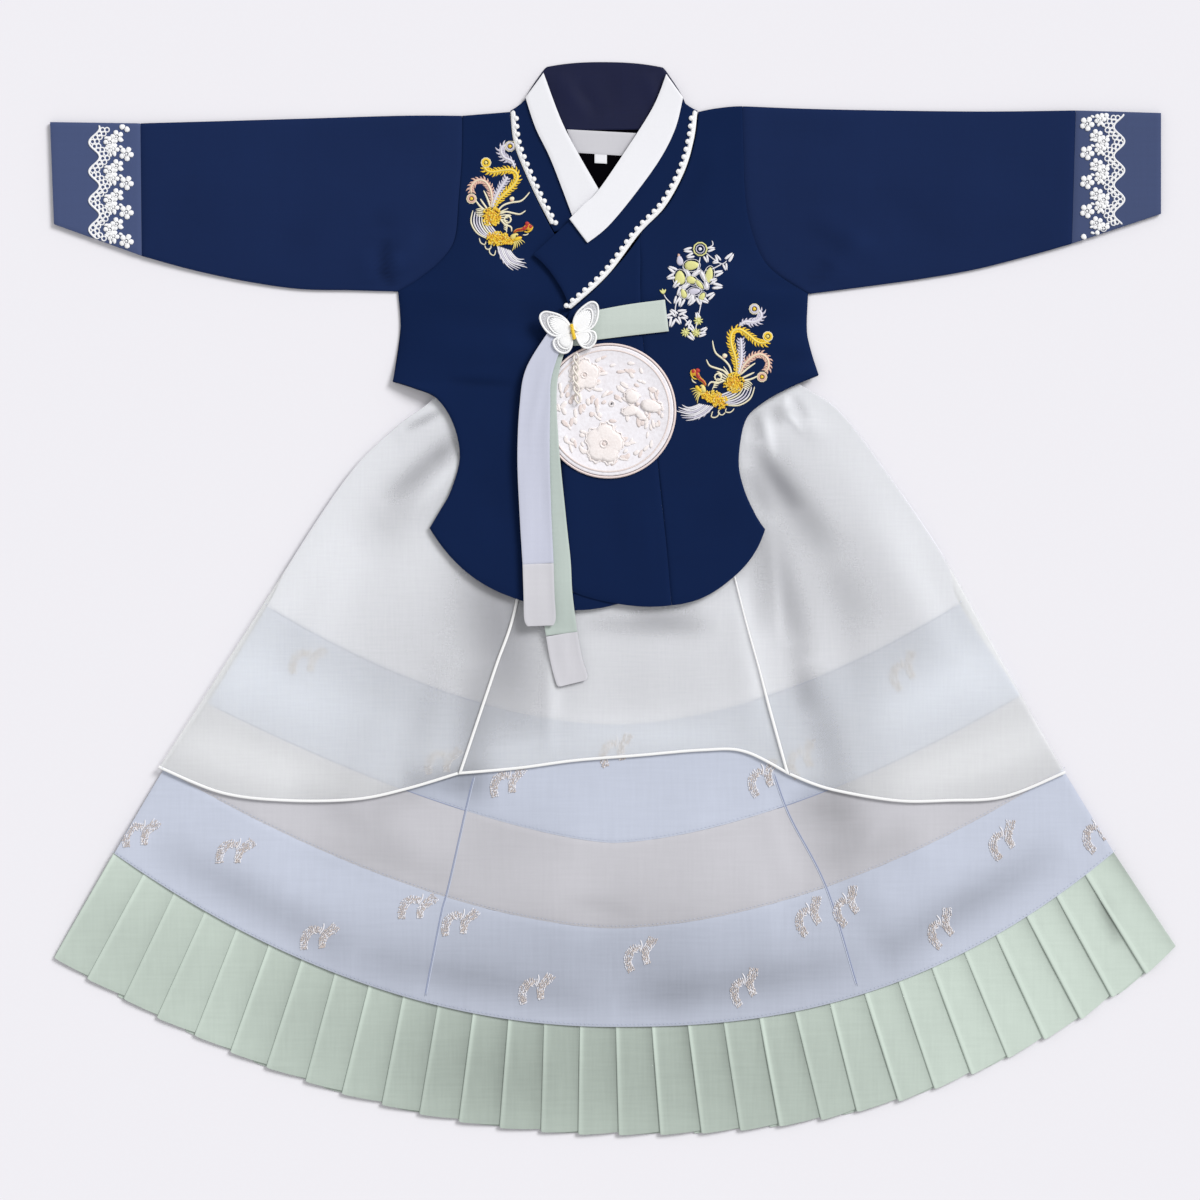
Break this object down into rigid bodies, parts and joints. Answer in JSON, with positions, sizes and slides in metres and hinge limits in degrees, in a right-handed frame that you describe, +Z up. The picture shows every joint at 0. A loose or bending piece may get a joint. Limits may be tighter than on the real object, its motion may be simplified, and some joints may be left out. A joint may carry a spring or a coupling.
{
  "type": "korean hanbok",
  "caption": "Girl's Korean hanbok laid flat: a long navy jacket with lace cuffs, ties, butterfly and medallion over a layered skirt with a pleated hem.",
  "frame": {"origin": "middle of the underside, on the surface that the garment lies on", "axes": "+X across the garment from the wearer's right cuff to the left cuff, +Y from the hem to the collar, +Z up from the surface through the layers"},
  "size_m": [0.872, 0.8297, 0.022],
  "materials": {
    "navy_cloth": "matte navy woven cloth",
    "sleeve_cloth": "matte navy woven cloth",
    "cuff_cloth": "slate-navy semi-sheer cloth",
    "white_lace": "white flower lace",
    "white_strip": "smooth white strip cloth",
    "label_cloth": "silver-grey satin",
    "white_cloth": "white-grey skirt cloth",
    "blue_cloth": "light blue skirt cloth with small sprigs",
    "grey_cloth": "light grey skirt cloth",
    "green_cloth": "pale green pleated cloth",
    "organza": "sheer white organza",
    "binding": "white satin binding",
    "lavender_cloth": "lavender tie cloth",
    "tie_green": "pale green tie cloth",
    "tie_grey": "light grey tie cloth",
    "ivory_relief": "ivory embroidered relief",
    "rose_rim": "pinkish cord",
    "sheer_white": "sheer white with stitched edges",
    "gold_thread": "gold thread",
    "cream_cord": "cream twisted cord"
  },
  "bodies": {
    "root": {"butterfly_body": "gold_thread", "butterfly_wings": "sheer_white", "collar_back": "navy_cloth", "collar_lace_left": "white_lace", "collar_lace_right": "white_lace", "collar_left": "navy_cloth", "collar_right": "navy_cloth", "collar_strip_left": "white_strip", "collar_strip_right": "white_strip", "cuff_lace_left_back": "white_lace", "cuff_lace_left_front": "white_lace", "cuff_lace_right_back": "white_lace", "cuff_lace_right_front": "white_lace", "cuff_left_back": "cuff_cloth", "cuff_left_front": "cuff_cloth", "cuff_right_back": "cuff_cloth", "cuff_right_front": "cuff_cloth", "jacket_back": "navy_cloth", "jacket_front_left": "navy_cloth", "jacket_front_right": "navy_cloth", "jacket_overlap": "navy_cloth", "medallion": "ivory_relief", "medallion_rim": "rose_rim", "neck_label": "label_cloth", "overlay_back": "organza", "overlay_binding_left": "binding", "overlay_binding_middle": "binding", "overlay_binding_right": "binding", "overlay_left": "organza", "overlay_middle": "organza", "overlay_right": "organza", "size_tag": "white_strip", "skirt_flounce_back": "green_cloth", "skirt_flounce_front": "green_cloth", "skirt_grey_back": "grey_cloth", "skirt_grey_front": "grey_cloth", "skirt_lower_blue_back": "blue_cloth", "skirt_lower_blue_front": "blue_cloth", "skirt_upper_blue_back": "blue_cloth", "skirt_upper_blue_front": "blue_cloth", "skirt_waistband_back": "white_cloth", "skirt_waistband_front": "white_cloth", "skirt_white_back": "white_cloth", "skirt_white_front": "white_cloth", "sleeve_left_back": "sleeve_cloth", "sleeve_left_front": "sleeve_cloth", "sleeve_right_back": "sleeve_cloth", "sleeve_right_front": "sleeve_cloth", "tassel_cord": "cream_cord", "tie_green": "tie_green", "tie_green_end": "tie_grey", "tie_knot": "tie_green", "tie_lavender": "lavender_cloth", "tie_lavender_end": "tie_grey", "tie_loop": "tie_green"}
  },
  "joints": []
}
